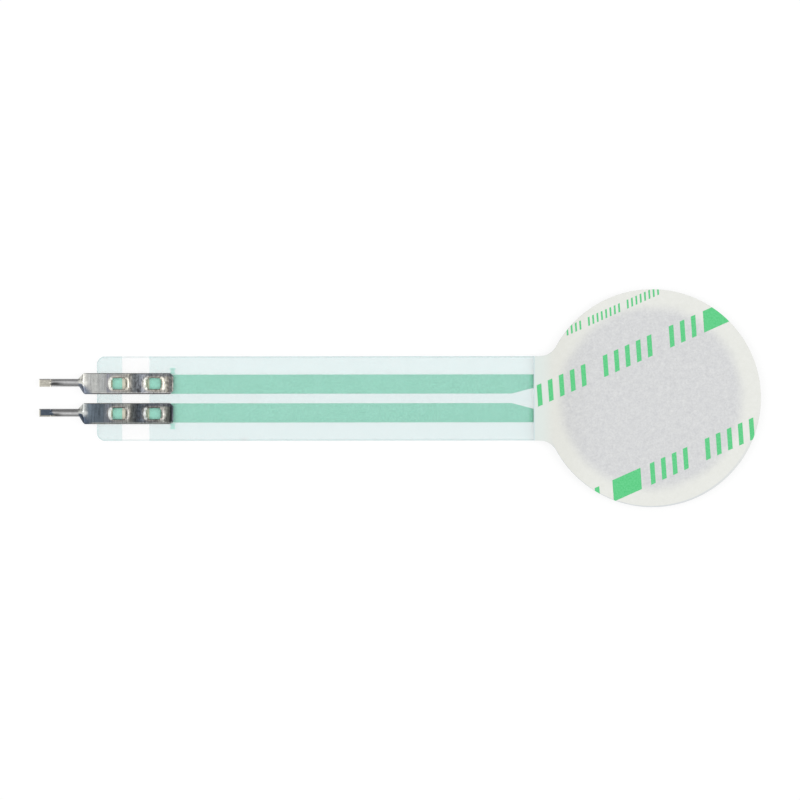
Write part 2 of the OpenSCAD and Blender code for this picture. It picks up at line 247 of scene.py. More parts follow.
def copyLayer(node, name, hair=layers["hair"]):
    activate(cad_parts[node])
    bpy.ops.object.duplicate()
    piece = namePiece(bpy.context.active_object, name)
    for key in list(piece.keys()):
        del piece[key]
    bpy.ops.object.mode_set(mode="EDIT")
    bpy.ops.mesh.select_mode(type="VERT")
    bpy.ops.mesh.select_all(action="SELECT")
    bpy.ops.mesh.remove_doubles(threshold=layers["weld"] * mm)
    bpy.ops.mesh.dissolve_limited(angle_limit=math.radians(0.5))
    bpy.ops.mesh.select_all(action="SELECT")
    bpy.ops.transform.shrink_fatten(value=-hair * mm, use_even_offset=True)
    bpy.ops.object.mode_set(mode="OBJECT")
    return piece


# Eases the edges of a piece that pass a test, and gives the new faces the second finish
def easeEdges(piece, width, test, segments=2, slotIndex=1):
    activate(piece)
    bpy.ops.object.mode_set(mode="EDIT")
    selectParts(piece, "EDGE", test)
    bpy.ops.mesh.bevel(offset=width * mm, segments=segments, material=slotIndex)
    bpy.ops.object.mode_set(mode="OBJECT")


def isRim(edge, height):
    steep = len(edge.link_faces) == 2 and edge.calc_face_angle(0) > math.radians(layers["sharp"])
    level = all(abs(vertex.co.z - height) < layers["sameHeight"] * mm for vertex in edge.verts)
    return steep and level


# Two clear polyester films, with a cut edge that shows as a teal line
films = {
    "edge": 0.045,
    "tailHalf": 3.575,  # half the tail's width and, below, the radius of its two corners
    "tailCorner": 0.65,
    "headFrom": -8,  # the head's round outline starts here
    "rimFrom": (-9.3, -9.6),  # the teal line starts here, behind the neck
    "hazeTones": ((246, 249, 249), (232, 238, 238)),
    "rimTone": (84, 170, 172),
    "alpha": (0.02, 0.05),  # inside and on the teal line
    "edgeTones": ((104, 172, 172), (132, 194, 194)),
    "edgeAlpha": 0.12,
}


def isOuterRim(edge, height):
    middle = (edge.verts[0].co + edge.verts[1].co) / 2
    x, y = middle.x / mm, abs(middle.y) / mm
    onTail = x < tailEnd + 0.7 or y > films["tailHalf"] - 0.075
    onHead = math.hypot(x, y) > headRadius - 0.1 and x > films["headFrom"]
    return isRim(edge, height) and (onTail or onHead)


# 1 on the tail's cut edge, 0 from a hair's breadth inside it
def tailRim(finish):
    x, y = placeParts(finish)[:2]
    corner = films["tailCorner"]
    along = sums(finish, "SUBTRACT", tailEnd + corner, x)
    aside = sums(finish, "SUBTRACT", sizeOf(finish, y), films["tailHalf"] - corner)
    rim = spread(finish, cornerReach(finish, along, aside), corner - 0.2, corner - 0.06)
    rim = sums(finish, "MAXIMUM", rim, spread(finish, x, tailEnd + 0.42, tailEnd + 0.05, 0, 0.6))
    return times(finish, rim, spread(finish, x, *films["rimFrom"]))


def clearFilmFinish():
    finish, shader = newFinish("clearPolyester", Roughness=0.12, IOR=1.5)
    haze = cloudy(finish, 1.4, detail=3)
    rim = tailRim(finish)
    colour = paint(finish, rim, twoTones(finish, haze, films["hazeTones"]), films["rimTone"])
    feed(finish, colour, shader.inputs["Base Color"])
    feed(finish, spread(finish, rim, 0, 1, *films["alpha"]), shader.inputs["Alpha"])
    scuffs = mottle(finish, 0.25, stretch=(5, 1, 1), detail=3)
    feed(finish, bumpFrom(finish, scuffs, 0.004, 0.25), shader.inputs["Normal"])
    return finish


def filmEdgeFinish():
    finish, shader = newFinish("dieCutEdge", Roughness=0.35, IOR=1.5, Alpha=films["edgeAlpha"])
    grain = cloudy(finish, 0.12, detail=2)
    feed(finish, twoTones(finish, grain, films["edgeTones"]), shader.inputs["Base Color"])
    return finish


def makeFilms():
    clear, cutEdge = clearFilmFinish(), filmEdgeFinish()
    for node, name in (("front_film", "frontFilm"), ("rear_film", "rearFilm")):
        piece = copyLayer(node, name)
        dressPiece(piece, [clear, cutEdge], [node])
        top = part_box(node)[1].z
        easeEdges(piece, films["edge"], lambda edge: isOuterRim(edge, top))
        for face in piece.data.polygons:
            if abs(face.normal.z) < 0.3:
                face.material_index = 1
        smoothPiece(piece)
        print("films:", name, len(piece.data.polygons), "faces")


# Pale teal adhesive that bonds the films, with a gap at the clear band and the vent to the head's rim
adhesive = {
    "paleAndDeep": ((156, 228, 229), (106, 205, 205)),
    "deeper": (98, 196, 198),  # between the conductors and along the tail's lower side
    "between": (0.6, 0.3),  # where either of the deeper strips begins and is in full
    "lowerSide": (-1.2, -1.6),
    "alpha": 0.05,
    "baseAlpha": 0.19,
    "smudges": [(-33.8, -0.15, 0.55), (-34.5, -3.45, 0.5)],  # place and radius of each
    "smudgeTone": (60, 130, 130),
    "mountingTones": ((170, 205, 203), (150, 196, 196)),
}


def adhesiveFinish(name, alpha):
    finish, shader = newFinish(name, Roughness=0.5, IOR=1.48, Alpha=alpha)
    cloud = cloudy(finish, 1.1, detail=8, roughness=0.85)
    grit = spread(finish, mottle(finish, 0.14, detail=2), 0.35, 0.65, 0.6, 1.4)
    colour = shadeBy(finish, twoTones(finish, cloud, adhesive["paleAndDeep"]), grit)
    y = placeParts(finish)[1]
    between = spread(finish, sizeOf(finish, y), *adhesive["between"], 0, 0.75)
    lowerSide = spread(finish, y, *adhesive["lowerSide"], 0, 0.5)
    colour = paint(finish, sums(finish, "MAXIMUM", between, lowerSide), colour, adhesive["deeper"])
    for smudgeX, smudgeY, radius in adhesive["smudges"]:
        mapping = addNode(finish, "ShaderNodeMapping",
                          {"Vector": places(finish), "Location": (-smudgeX / radius, -smudgeY / radius, 0),
                           "Scale": (1 / (radius * mm), 1 / (radius * mm), 0)})
        ball = addNode(finish, "ShaderNodeTexGradient", {"Vector": mapping.outputs[0]},
                       gradient_type="SPHERICAL")
        speck = times(finish, ball.outputs["Fac"], spread(finish, mottle(finish, 0.3), 0.3, 0.6))
        colour = paint(finish, speck, colour, adhesive["smudgeTone"])
    feed(finish, colour, shader.inputs["Base Color"])
    return finish


def transferFinish():
    finish, shader = newFinish("clearTransferAdhesive", Roughness=0.3, IOR=1.47, Alpha=0.015)
    cloud = cloudy(finish, 0.5, detail=3)
    feed(finish, twoTones(finish, cloud, adhesive["mountingTones"]), shader.inputs["Base Color"])
    return finish


def makeAdhesives():
    spacer = copyLayer("spacer_adhesive", "spacerAdhesive")
    film = adhesiveFinish("tealAdhesive", adhesive["alpha"])
    base = adhesiveFinish("tealAdhesiveBase", adhesive["baseAlpha"])
    dressPiece(spacer, [film, base], ["spacer_adhesive"])
    for face in spacer.data.polygons:
        if face.normal.z < -0.9 and face.center.z < (filmInner + 0.008) * mm:
            face.material_index = 1
    smoothPiece(spacer)
    mounting = copyLayer("mounting_adhesive", "mountingAdhesive")
    dressPiece(mounting, [transferFinish()], ["mounting_adhesive"])
    smoothPiece(mounting)
    print("adhesives: spacer and mounting layer")


# Printed layers: silver conductors, the mint coat over them with its two register marks, and the pad
prints = {
    "silverTones": ((224, 220, 202), (206, 202, 184)),
    "underWindow": (-43.9, -43.6),  # the silver looks greener from here on
    "underWindowTone": (196, 204, 182),
    "coatTones": ((162, 219, 198), (148, 210, 186)),
    # Under the plates the coat, seen only through the windows, is painted brighter against the shade of the
    # window walls
    "underPlate": (-40.5, -41),
    "underPlatePaintedLightTone": (166, 232, 210),
    "underLinerTone": (142, 222, 186),
    "markTone": (196, 236, 224),
    "markSide": 2.06,  # the marks lie past this distance from the tail's middle line
    "markMiddle": -40.63,
    "markBleed": 1.15,  # they run a little wider as they dry
    "carbonTones": ((44, 44, 46), (62, 62, 64)),
}


def silverFinish():
    finish, shader = newFinish("printedSilver", Metallic=0.55, Roughness=0.55)
    flakes = cloudy(finish, 0.05, detail=3, roughness=0.7)
    base = twoTones(finish, flakes, prints["silverTones"])
    underWindow = spread(finish, placeParts(finish)[0], *prints["underWindow"])
    feed(finish, paint(finish, underWindow, base, prints["underWindowTone"]), shader.inputs["Base Color"])
    feed(finish, bumpFrom(finish, flakes, 0.002, 0.4), shader.inputs["Normal"])
    return finish


def coatFinish():
    finish, shader = newFinish("mintCoat", Roughness=0.45, IOR=1.5)
    cloud = cloudy(finish, 0.9, detail=8, roughness=0.85)
    x, y = placeParts(finish)[:2]
    base = twoTones(finish, cloud, prints["coatTones"])
    # Painted light: the coat under the plates is brighter, against the windows' shade
    base = paint(finish, spread(finish, x, *prints["underPlate"]), base, prints["underPlatePaintedLightTone"])
    onMarks = spread(finish, sizeOf(finish, y), prints["markSide"] - 0.01, prints["markSide"] + 0.01)
    base = paint(finish, onMarks, base, prints["markTone"])
    underLiner = spread(finish, x, linerEdge - 0.4, linerEdge - 0.2)
    base = paint(finish, underLiner, base, prints["underLinerTone"])
    orange = mottle(finish, 0.14, detail=2)
    base = shadeBy(finish, base, spread(finish, orange, 0.35, 0.65, 0.93, 1.07))
    feed(finish, base, shader.inputs["Base Color"])
    feed(finish, bumpFrom(finish, orange, 0.002, 0.3), shader.inputs["Normal"])
    return finish


def carbonFinish():
    finish, shader = newFinish("printedCarbon", Roughness=0.8)
    grit = cloudy(finish, 0.06, detail=3, roughness=0.7)
    feed(finish, twoTones(finish, grit, prints["carbonTones"]), shader.inputs["Base Color"])
    feed(finish, bumpFrom(finish, grit, 0.004, 0.6), shader.inputs["Normal"])
    return finish


def widenMark(cover):
    middle = prints["markMiddle"] * mm
    for vertex in cover.data.vertices:
        if abs(vertex.co.y) > prints["markSide"] * mm and vertex.co.x < middle + 0.4 * mm:
            vertex.co.x = middle + (vertex.co.x - middle) * prints["markBleed"]


def makePrints():
    silver, coat, carbon = silverFinish(), coatFinish(), carbonFinish()
    for side in ("upper", "lower"):
        trace = copyLayer(side + "_trace", side + "Trace")
        dressPiece(trace, [silver], [side + "_trace"])
        smoothPiece(trace)
        cover = copyLayer(side + "_coat", side + "Coat")
        widenMark(cover)
        dressPiece(cover, [coat], [side + "_coat"])
        smoothPiece(cover)
    pad = copyLayer("carbon_pad", "carbonPad")
    dressPiece(pad, [carbon], ["carbon_pad"])
    smoothPiece(pad)
    print("prints: silver, mint coat and carbon")


# Release liner: white paper with the dark pad showing through as a soft disc
liner = {
    "edge": 0.02,
    "disc": (7.3, 8.55),  # where the soft disc starts and ends to fade
    "discShift": 0.1,
    "paperHair": 0.001,
    "paperTones": ((236, 237, 232), (227, 228, 222)),
    "discTones": ((224, 225, 224), (202, 203, 206)),
    "speckTone": (176, 180, 182),
    "shadeTone": (240, 239, 236),
    "neckTone": (223, 233, 229),
    "edgeTone": (202, 222, 225),
    "cutShadeTone": (206, 212, 217),
    "inkTones": ((78, 198, 122), (102, 211, 142)),
}


def paperFinish():
    finish, shader = newFinish("releasePaper", Roughness=0.42, IOR=1.45)
    x, y = placeParts(finish, (-liner["discShift"], 0, 0))[:2]
    length = lengthOf(finish, x, y)
    ragged = times(finish, mottle(finish, 1.3, detail=3), 0.5)
    disc = spread(finish, sums(finish, "ADD", length, ragged), *liner["disc"], 1, 0, smooth=True)
    cloud = cloudy(finish, 0.5, detail=8, roughness=0.85)
    colour = blendTones(finish, disc, twoTones(finish, cloud, liner["paperTones"]),
                        twoTones(finish, cloud, liner["discTones"]))
    grit = spread(finish, mottle(finish, 0.14, detail=2, shift=(0, 7, 0)), 0.3, 0.7, 0.945, 1.055)
    colour = blendTones(finish, disc, colour, shadeBy(finish, colour, grit))
    specks = spread(finish, mottle(finish, 0.35, detail=4, roughness=0.75), 0.66, 0.76, 0, 0.5)
    colour = paint(finish, times(finish, specks, disc), colour, liner["speckTone"])

    # Towards the neck the paper is darker and takes on the films' tint
    shade = spread(finish, x, -4, -8.5, 0, 0.4, smooth=True)
    colour = blendTones(finish, shade, colour, tone(*liner["shadeTone"]), "MULTIPLY")
    neck = spread(finish, x, linerEdge + 2, linerEdge + 0.5, 0, 0.8, smooth=True)
    colour = paint(finish, neck, colour, liner["neckTone"])
    edge = spread(finish, x, linerEdge + 0.26, linerEdge + 0.1)
    colour = paint(finish, edge, colour, liner["edgeTone"])

    # The cut edge shows as a grey line, painted as shade that is strongest on the head's lower side
    cut = spread(finish, length, headRadius - 0.13, headRadius - 0.07)
    shaded = sums(finish, "SUBTRACT", times(finish, x, -0.15), y)
    cut = times(finish, cut, spread(finish, x, -8.6, -8.1), spread(finish, shaded, -1, 9, 0, 0.7))
    colour = paint(finish, cut, colour, liner["cutShadeTone"])
    feed(finish, colour, shader.inputs["Base Color"])
    fibres = mottle(finish, 0.12, stretch=(2.5, 1, 1), detail=4, roughness=0.65)
    feed(finish, bumpFrom(finish, fibres, 0.006, 0.25), shader.inputs["Normal"])
    return finish


def inkFinish():
    finish, shader = newFinish("greenInk", Roughness=0.5, IOR=1.45)
    grain = spread(finish, mottle(finish, 0.16, detail=4, roughness=0.7), 0.35, 0.65)
    feed(finish, twoTones(finish, grain, liner["inkTones"]), shader.inputs["Base Color"])
    return finish


def isLinerEdge(edge, height):
    middle = (edge.verts[0].co + edge.verts[1].co) / mm / 2
    onNeck = middle.x < -8.2 and abs(middle.y) > 3.4
    onHead = math.hypot(middle.x, middle.y) > headRadius - 0.02
    return isRim(edge, height) and (middle.x < linerEdge + 0.01 or onNeck or onHead)


def makeLiner():
    paper = copyLayer("release_liner", "releaseLiner", liner["paperHair"])
    dressPiece(paper, [paperFinish()], ["release_liner"])
    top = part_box("release_liner")[1].z
    easeEdges(paper, liner["edge"], lambda edge: isLinerEdge(edge, top), slotIndex=0)
    smoothPiece(paper)
    ink = copyLayer("liner_print", "linerPrint", liner["paperHair"])
    dressPiece(ink, [inkFinish()], ["liner_print"])
    smoothPiece(ink)
    print("liner: paper and generic bars")


# Crimp terminal, formed from one tinned strip: flat tip, folded pin, shoulder and plate with drawn windows
terminal = {
    "sheet": 0.2,
    "plateLength": 7.49,
    "shoulderLength": 0.52,
    "pinLength": 2.16,
    "shoulderSlant": 0.04,  # the shoulder's lower side starts a little later than its upper one
    "slantRun": 0.4,
    "pressLength": 0.3,
    "pinWidth": 0.66,
    "pinWall": 0.2,
    "pinOffset": 0.08,  # both pins lie a little above their plates' middle lines
    "tipDrop": 0.1,
    "edge": 0.03,
    "upperRoll": 0.08,  # die roll of the plate's two long edges
    "lowerRoll": 0.15,
    "rollRun": (0.12, 0.3),  # it starts this far before the plate, and is in full after the second length
    "chamfer": 0.26,
    "rollLength": 0.44,
    "rollDrop": 0.15,
    "windowInset": 1.88,  # from the films' end to the middle of the first window
    "windowPitch": 2.96,
    "windowLength": 1.1,
    "windowWidth": 0.96,
    "windowCorner": 0.44,
    "plateRows": 1.5,  # length of the evenly spaced rows before the windows
    "windowRows": (0.6, 0.5, 0.41),  # rows beside a window, out from its opening
    "drawRadius": 0.34,  # of the drawn lip, in its middle and at its sides
    "sideRadius": 0.14,
    "lipWidth": 0.92,
    "lipReach": 0.3,
    "tineWidth": 0.8,
    "clinchRadius": 0.115,
    "clinchStart": 0.015,
    "footLength": 0.44,
    "footTip": 0.34,
}
plateStart = terminalHigh.x - terminal["plateLength"]
pinStart = plateStart - terminal["shoulderLength"]
pressStart = pinStart - terminal["pinLength"]
tipStart = pressStart - terminal["pressLength"]
plateHalf = (terminalHigh.y - terminalLow.y) / 2
windowX = [tailEnd + terminal["windowInset"] + step * terminal["windowPitch"] for step in (0, 1)]
foldRadius = (terminal["pinWidth"] - terminal["sheet"]) / 2

# Places of the strip's lengthwise lines, as shares of its half width, closer together at the rim. Two of
# them run along the sides of the tines and of the windows
tineShare = terminal["lipWidth"] / 2 / plateHalf
windowShare = terminal["windowWidth"] / 2 / plateHalf
halfLines = [0, 0.07, 0.15, 0.23, 0.31, 0.38, 0.44, 0.485, tineShare, windowShare, 0.57, 0.62, 0.7,
             0.78, 0.85, 0.89, 0.92, 0.945, 0.965, 0.98, 0.992, 1]
lines = [-share for share in reversed(halfLines[1:])] + halfLines


def ease(part):
    return part * part * (3 - 2 * part)


# Half width of the flat strip that keeps the pin's width while it folds
def foldingHalf(part, fold):
    t = terminal
    if fold > 89.9:
        return foldRadius * math.pi / 2 + t["pinWall"]
    turn = math.radians(fold)
    leg = t["pinWidth"] / 2 * (1 - math.sin(turn)) / math.cos(turn)
    return foldRadius * turn + leg + t["pinWall"] * part ** 4


# Stations along the strip: place, half width of the flat strip, fold in degrees, height of its upper
# face and, in and round the windows, the steps of the tine there
def stripStations():
    t = terminal
    pinHalf = foldRadius * math.pi / 2 + t["pinWall"]
    top = terminalHigh.z
    tipLength = tipStart - terminalLow.x
    stations = [(terminalLow.x + part * tipLength, t["pinWidth"] / 2, 0, top - t["tipDrop"], None)
                for part in (0, 0.04, 0.33, 0.66)]
    for k in range(13):
        part = k / 12
        fold = 90 * ease(part)
        stations.append((tipStart + t["pressLength"] * part, foldingHalf(part, fold), fold,
                         top - t["tipDrop"] * (1 - ease(part)), None))
    stations += [(pressStart + t["pinLength"] * k / 6, pinHalf, 90, top, None) for k in range(1, 6)]
    for k in range(17):
        part = k / 16
        turn = math.pi / 2 * (1 - part) ** 2
        width = foldRadius + (plateHalf - foldRadius) * part
        leg = (width - foldRadius * math.sin(turn)) / math.cos(turn) if k else t["pinWall"]
        stations.append((pinStart + t["shoulderLength"] * part, foldRadius * turn + leg, math.degrees(turn),
                         top, None))
    stations += [(plateStart + t["plateRows"] * k / 5, plateHalf, 0, top, None) for k in range(1, 6)]
    for x in windowX:
        stations += [(place, plateHalf, 0, top, step) for place, step in windowRows(x)]
    rollStart = terminalHigh.x - t["rollLength"]
    for k in range(9):
        place = rollStart + t["rollLength"] * k / 8
        narrow = max(0, place - terminalHigh.x + t["chamfer"])
        stations.append((place, plateHalf - narrow, 0, top, None))
    return stations


# Rows of one window: places on the plate beside it, with the tine's own steps from each end inwards
def windowRows(x):
    t = terminal
    bends = [("bend", turn) for turn in (0, 12, 24, 36, 48, 60, 70, 80, 90)]
    inner = [("wall", 0)]
    inner += [("clinch", turn) for turn in (22, 45, 68, 90)]
    inner += [("foot", part) for part in (0.5, 1)]
    rows = []
    for end in (-1, 1):
        side = [(x + end * (t["windowLength"] / 2 + gap), None) for gap in t["windowRows"]]
        for kind, turn in bends:
            out = t["drawRadius"] * (1 - math.sin(math.radians(turn)))
            side.append((x + end * (t["windowLength"] / 2 + out), (kind, turn, x, end)))
        for k, (kind, value) in enumerate(inner):
            out = (k + 1) / (len(inner) + 0.5)
            side.append((x + end * t["windowLength"] / 2 * (1 - out), (kind, value, x, end)))
        rows.append(side)
    return rows[0] + rows[1][::-1]


# Middle of the sheet on a tine: drawn down from the plate over a rounded lip, then clinched inwards
def tinePlace(step, across):
    t = terminal
    kind, value, x, end = step
    y = across * plateHalf
    least = t["sideRadius"]
    lip = least + (t["drawRadius"] - least) * math.sqrt(max(0, 1 - (y / t["lipWidth"] * 1.96) ** 2))
    wall = t["sheet"] / 2
    clinch = t["clinchRadius"]
    out, z = wall, t["clinchStart"]
    turn = math.radians(value)
    narrow = t["tineWidth"] / t["lipWidth"]
    if kind == "bend":
        narrow = 1 + (narrow - 1) * min(1, max(0, value - 48) / 18)
        out = lip - (lip - wall) * math.sin(turn)
        z = terminalHigh.z - lip + (lip - wall) * math.cos(turn)
    if kind == "clinch":
        out = wall - clinch * (1 - math.cos(turn))
        z = t["clinchStart"] - clinch * math.sin(turn)
    if kind == "foot":
        out = -t["clinchStart"] - (t["footLength"] - t["clinchStart"]) * value
        z = -wall
        narrow *= 1 + (t["footTip"] / t["tineWidth"] - 1) * value
    return Vector((x + end * (t["windowLength"] / 2 + out), y * narrow, z))


def stripPlace(station, across):
    t = terminal
    place, half, fold, top, step = station
    if step and abs(across) < tineShare + 0.001:
        return tinePlace(step, across)
    run = abs(across) * half
    arc = min(run, foldRadius * math.radians(fold))
    turn = arc / foldRadius
    leg = run - arc
    y = math.copysign(foldRadius * math.sin(turn) + leg * math.cos(turn), across)
    drop = foldRadius * (1 - math.cos(turn)) + leg * math.sin(turn)
    shoulder = min(1, max(0, (place - pinStart) / t["shoulderLength"]))
    y += t["pinOffset"] * (1 - ease(shoulder))
    slant = ease(min(1, max(0, (place - pinStart + t["slantRun"]) / t["slantRun"])))
    slant *= ease(min(1, max(0, (plateStart + 0.8 - place) / 0.6)))
    return Vector((place - t["shoulderSlant"] * slant * across, y, top - t["sheet"] / 2 - drop))


def formStrip():
    t = terminal
    stations = stripStations()
    rows, columns = len(stations) - 1, len(lines) - 1
    deselectAll()
    bpy.ops.mesh.primitive_grid_add(x_subdivisions=rows, y_subdivisions=columns, size=1)
    strip = bpy.context.active_object

    # The windows' openings are slits beside the tines, and the gap between their feet
    def isOpen(face):
        middle = face.calc_center_median()
        row = math.floor((middle.x + 0.5) * rows)
        column = math.floor((middle.y + 0.5) * columns)
        steps = [stations[row][4], stations[row + 1][4]]
        if None in steps or steps[0][2] != steps[1][2]:
            return False
        across = max(abs(lines[column]), abs(lines[column + 1]))
        inside = all(step[0] != "bend" or step[1] == 90 for step in steps)
        gap = steps[0][3] != steps[1][3]
        slit = tineShare + 0.001 < across < windowShare + 0.001
        return inside and slit or gap and across < windowShare + 0.001

    bpy.ops.object.mode_set(mode="EDIT")
    selectParts(strip, "FACE", isOpen)
    bpy.ops.mesh.delete(type="FACE")
    bpy.ops.object.mode_set(mode="OBJECT")
    for vertex in strip.data.vertices:
        row = round((vertex.co.x + 0.5) * rows)
        across = lines[round((vertex.co.y + 0.5) * columns)]
        vertex.co = stripPlace(stations[row], across) * mm
    applyModifier(strip, "SOLIDIFY", thickness=t["sheet"] * mm, offset=0, use_even_offset=True,
                  use_quality_normals=True)
    rollPlateEdges(strip)
    squareTines(strip)
    applyModifier(strip, "BEVEL", width=t["edge"] * mm, segments=2, limit_method="ANGLE",
                  angle_limit=math.radians(60))
    for vertex in strip.data.vertices:
        vertex.co.z = min(max(vertex.co.z, terminalLow.z * mm), terminalHigh.z * mm)
    return strip


# Keeps each tine within its slot in the films below the plate
def squareTines(strip):
    t = terminal
    reach = t["windowLength"] / 2 + t["sheet"]
    for vertex in strip.data.vertices:
        x, y, z = vertex.co / mm
        for middle in windowX:
            out = x - middle
            if z < filmBack - 0.0001 and reach < abs(out) < reach + 0.3 and abs(y) < t["windowWidth"] / 2:
                vertex.co.x = (middle + math.copysign(reach, out)) * mm


# Lowers the plate's back towards its long edges and its window end, as the die leaves it
def rollPlateEdges(strip):
    t = terminal
    rollFrom = plateStart - t["rollRun"][0]
    endRadius = (t["rollLength"] ** 2 + t["rollDrop"] ** 2) / (2 * t["rollDrop"])
    for vertex in strip.data.vertices:
        x, y, z = vertex.co / mm
        share = min(1, max(0, (x - rollFrom) / t["rollRun"][1]))
        past = min(max(0, x - terminalHigh.x + t["rollLength"]), t["rollLength"])
        half = plateHalf - max(0, x - terminalHigh.x + t["chamfer"])
        roll = t["upperRoll"] if y > 0 else t["lowerRoll"]
        near = max(0, roll - max(0, half - abs(y)))
        if x > rollFrom and z > filmBack + t["sheet"] * 0.6:
            z -= (roll - math.sqrt(roll ** 2 - near ** 2)) * ease(share)
        sink = endRadius - math.sqrt(endRadius ** 2 - past ** 2)
        z = filmBack + (z - filmBack) * (1 - sink / t["sheet"])
        vertex.co.z = min(z, terminalHigh.z) * mm


# Keeps the way each part of the surface faces, for the painted reflections and shade on the tin
def storeLean(piece):
    mesh = piece.data
    lean = mesh.attributes.new("lean", "FLOAT_VECTOR", "CORNER")
    lean.data.foreach_set("vector", [part for normal in mesh.corner_normals for part in normal.vector])


# Looks of the tin, on both terminals and on each. All its tones but the stains, the grain and the sheared
# edges are painted reflections, highlights and shade. "flat" goes along the plate's back, in mm from its
# window end. "nose" goes across the fold behind the tip, from its lower side at -1 to its upper one at 1,
# and "pin" round the rest of the pin, by the way its surface leans to the side.
tinLooks = {
    "both": {
        "stain": (58, 58, 60),
        "lipShades": ((92, 84, 76), (128, 136, 130)),  # inside the right lip of either window
        "windowSideShade": (134, 130, 122),
        "upperEdgeShade": (80, 80, 76),
        "shoulderSideShade": (96, 96, 92),
        "pinSideShade": (112, 111, 112),
        "sheared": ((96, 95, 92), (140, 138, 132)),
    },
    "upper": {
        "axis": terminalY,
        "flat": [(0, (128, 126, 122)), (0.2, (118, 117, 115)), (0.3, (136, 136, 134)),
                 (0.38, (122, 118, 113)), (0.47, (158, 154, 144)), (0.72, (198, 195, 187)),
                 (1.5, (150, 147, 141)), (2.45, (158, 160, 166)), (2.6, (148, 151, 159)),
                 (2.75, (124, 129, 136)), (3.0, (112, 116, 121)), (3.35, (106, 110, 112)),
                 (3.7, (156, 153, 146)), (5.2, (136, 137, 139)), (5.55, (132, 133, 142)),
                 (5.7, (150, 151, 150)), (5.95, (158, 160, 160)), (6.6, (168, 169, 166)),
                 (7.1, (173, 174, 172)), (7.5, (184, 183, 178))],
        "nose": [(-1, 196), (-0.78, 180), (-0.5, 84), (-0.23, 42), (0.04, 106), (0.32, 174),
                 (0.6, 104), (1, 170)],
        "pin": [(-1, 190), (-0.78, 158), (-0.5, 122), (-0.23, 152), (0.04, 178), (0.32, 176),
                (0.6, 112), (1, 170)],
        "tip": (171, 168, 158),
        "tipRimHighlight": (180, 177, 166),
        "nosePeak": (-0.35, 0.1, 0),  # where the fold's point lies, and how far its sides and all of it lag
        "flankShadeAndLight": ((110, 117, 130), (198, 198, 190)),
        "ridgeHighlight": (206, 205, 198),
        "leftLipHighlight": (236, 236, 228),
        "rightLipHighlight": (222, 218, 204),
        "lipWallShade": (176, 180, 158),
        "windowShadeLine": (124, 120, 113),
        "haloSheen": (200, 194, 182),
        "glint": (222, 222, 216),
        "grain": 0.26,
        "lowerEdgeHighlightAndShade": ((192, 191, 190), (22, 22, 24)),
        "topBand": (86, 91, 98),
        "endLine": (150, 152, 146),
    },
    "lower": {
        "axis": -terminalY,
        "flat": [(0, (78, 84, 90)), (0.12, (54, 58, 66)), (0.21, (46, 48, 53)), (0.3, (76, 79, 77)),
                 (0.47, (92, 95, 90)), (0.64, (128, 130, 124)), (0.9, (166, 168, 162)),
                 (1.5, (92, 94, 95)), (2.45, (104, 109, 116)), (2.6, (104, 110, 118)),
                 (2.75, (78, 86, 94)), (3.0, (62, 67, 73)), (3.35, (82, 86, 87)),
                 (3.55, (100, 102, 98)), (3.7, (142, 142, 136)), (5.2, (96, 101, 106)),
                 (5.55, (102, 106, 114)), (5.75, (102, 108, 114)), (5.95, (82, 91, 99)),
                 (6.6, (89, 99, 108)), (7.1, (97, 107, 116)), (7.5, (122, 128, 131))],
        "nose": [(-1, 160), (-0.78, 97), (-0.5, 74), (-0.22, 134), (0.05, 164), (0.33, 120), (0.6, 98),
                 (1, 180)],
        "pin": [(-1, 172), (-0.78, 124), (-0.5, 156), (-0.22, 190), (0.05, 158), (0.33, 114),
                (0.6, 118), (1, 150)],
        "tip": (72, 81, 92),
        "tipRimHighlight": (152, 150, 140),
        "nosePeak": (0.4, 0.2, 0.1),
        "flankShadeAndLight": ((70, 80, 94), (170, 172, 166)),
        "ridgeHighlight": (192, 194, 190),
        "leftLipHighlight": (208, 212, 210),
        "rightLipHighlight": (184, 182, 176),
        "lipWallShade": (182, 186, 168),
        "windowShadeLine": (84, 82, 80),
        "haloSheen": (156, 152, 144),
        "glint": (200, 202, 200),
        "grain": 0.42,
        "lowerEdgeHighlightAndShade": ((152, 155, 152), (112, 115, 112)),
        "topBand": (74, 78, 86),
        "endLine": (88, 94, 100),
    },
}


# Places by the nearer window, in mm: along the plate from its middle, and out from its rounded edge
def windowPlaces(finish, x, y):
    t = terminal
    corner = t["windowCorner"]
    halfLength = t["windowLength"] / 2 + t["lipReach"]
    along = sums(finish, "SUBTRACT", x, (windowX[0] + windowX[1]) / 2)
    beside = sums(finish, "SUBTRACT", sizeOf(finish, along), t["windowPitch"] / 2)
    rightward = times(finish, beside, sums(finish, "SIGN", along, 0))
    beside = sizeOf(finish, beside)
    past = sums(finish, "SUBTRACT", beside, halfLength - corner)
    aside = sums(finish, "SUBTRACT", sizeOf(finish, y), t["windowWidth"] / 2 - corner)
    return rightward, beside, sums(finish, "SUBTRACT", cornerReach(finish, past, aside), corner)
